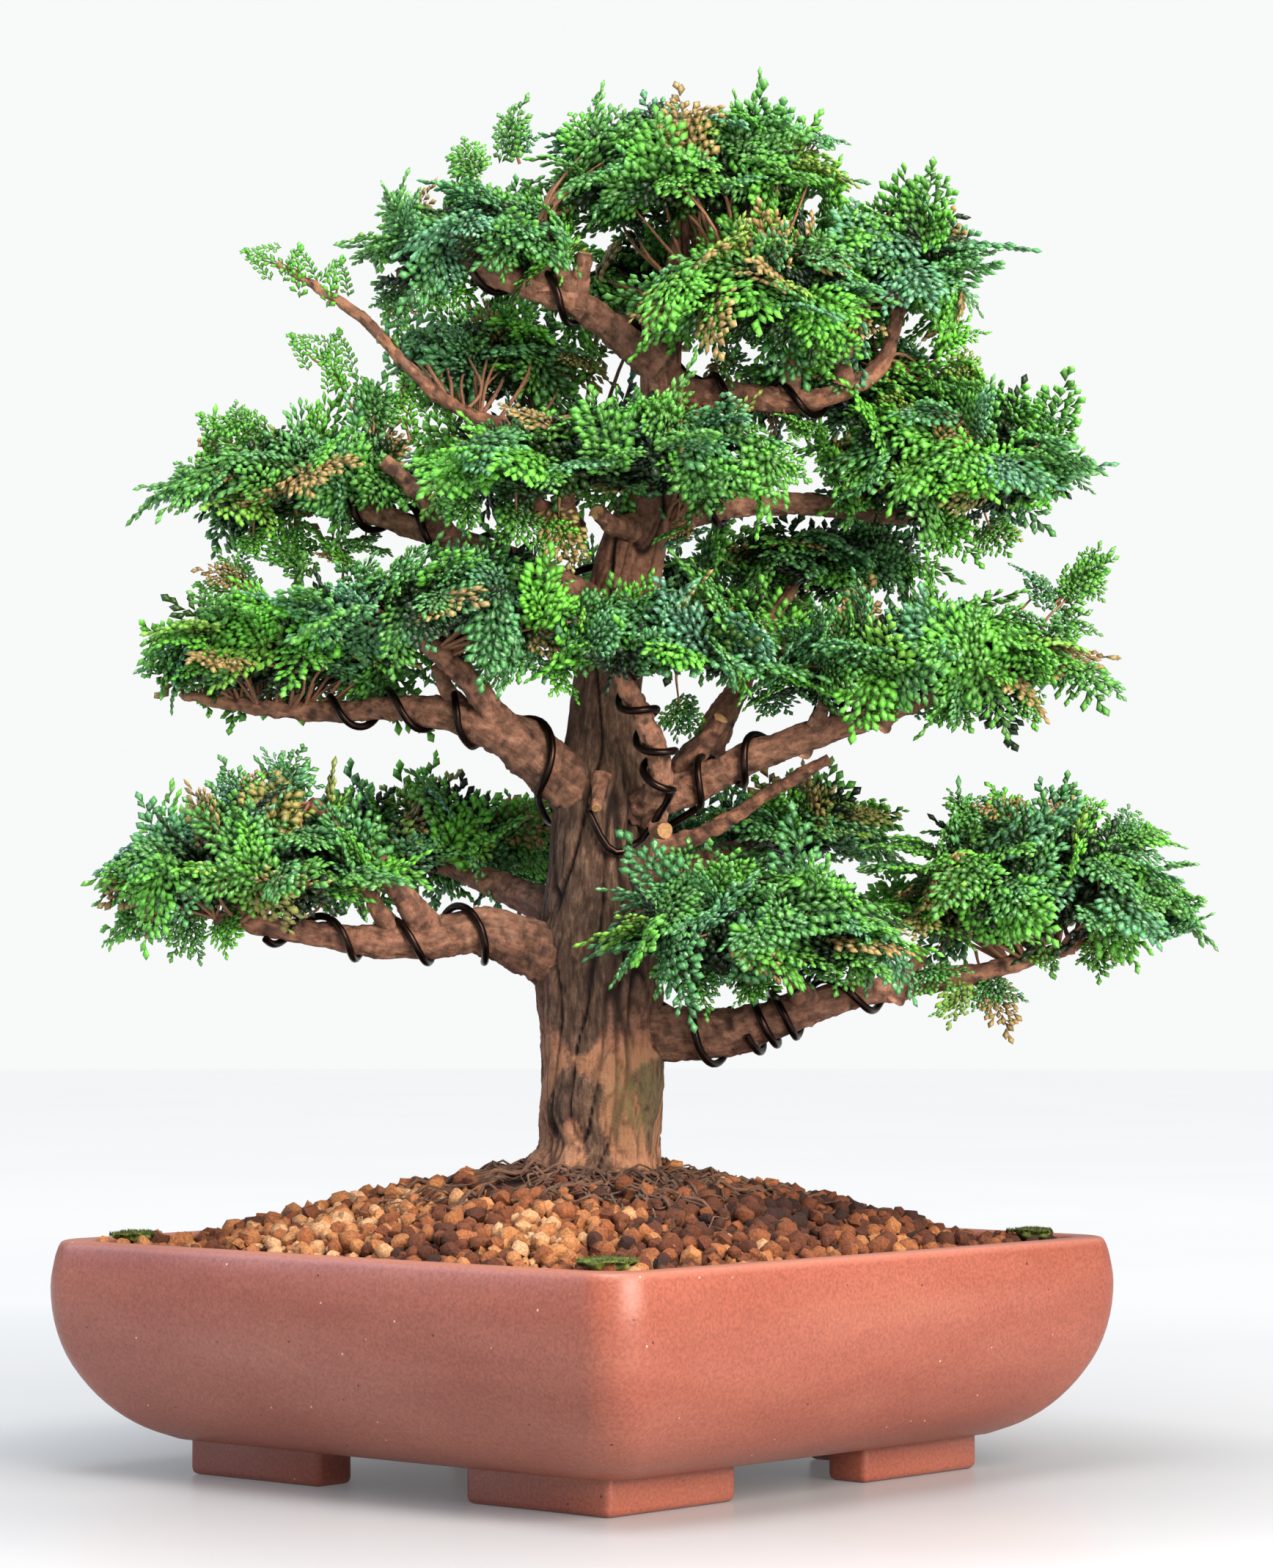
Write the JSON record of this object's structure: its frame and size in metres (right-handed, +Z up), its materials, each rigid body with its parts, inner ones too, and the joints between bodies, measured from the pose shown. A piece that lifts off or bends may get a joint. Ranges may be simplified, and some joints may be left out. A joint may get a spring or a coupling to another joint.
{
  "type": "bonsai tree in a pot",
  "caption": "Cypress bonsai with wired branches and flat foliage pads, growing in a granule mound in a square unglazed clay pot on corner feet.",
  "frame": {"origin": "on the ground under the middle of the pot, which is the bottom centre of the whole object's box", "axes": "+Z up along the trunk; +X and +Y along the pot's sides. The tree is turned 41 degrees in the pot, so its front faces between -Y and +X, over a pot corner"},
  "size_m": [0.315, 0.2832, 0.4492],
  "materials": {
    "clay": "unglazed red-brown stoneware, slightly burnished, fine sand speckle",
    "granules": "dry baked clay granules, 3.5 to 6 mm, matt",
    "moss": "short moss, matt",
    "bark": "furrowed and flaking grey-brown bark",
    "foliage": "scale-leaf sprays, green with lighter tips, slightly waxy",
    "training_wire": "dark brown anodised, glossy",
    "screen_plastic": "moulded mesh, matt",
    "tie_wire": "plain drawn wire"
  },
  "bodies": {
    "root": {"branch_apex_left": "bark", "branch_apex_right": "bark", "branch_front": "bark", "branch_gnarled": "bark", "branch_lower_back": "bark", "branch_lower_back_left": "bark", "branch_lower_left": "bark", "branch_lower_right": "bark", "branch_middle_back": "bark", "branch_middle_left": "bark", "branch_middle_right": "bark", "branch_middle_right_low": "bark", "branch_right": "bark", "branch_upper_back": "bark", "branch_upper_left": "bark", "branch_upper_right": "bark", "drain_screen": "screen_plastic", "foliage_apex_back": "foliage", "foliage_apex_back_left": "foliage", "foliage_apex_front": "foliage", "foliage_apex_left": "foliage", "foliage_apex_right": "foliage", "foliage_apex_top": "foliage", "foliage_back_right": "foliage", "foliage_lower_back": "foliage", "foliage_lower_far_left_back": "foliage", "foliage_lower_front": "foliage", "foliage_lower_left": "foliage", "foliage_lower_left_back": "foliage", "foliage_lower_right": "foliage", "foliage_lower_right_back": "foliage", "foliage_middle_back": "foliage", "foliage_middle_front": "foliage", "foliage_middle_left": "foliage", "foliage_middle_left_front": "foliage", "foliage_middle_right": "foliage", "foliage_right": "foliage", "foliage_right_high": "foliage", "foliage_upper_back": "foliage", "foliage_upper_front": "foliage", "foliage_upper_left": "foliage", "moss_front": "moss", "moss_left": "moss", "moss_right": "moss", "pot": "clay", "screen_clip": "tie_wire", "soil": "granules", "tie_wire": "tie_wire", "trunk": "bark", "twig_left": "bark", "wire_apex": "training_wire", "wire_front": "training_wire", "wire_lower": "training_wire", "wire_lower_right": "training_wire", "wire_middle": "training_wire", "wire_upper": "training_wire"}
  },
  "joints": []
}
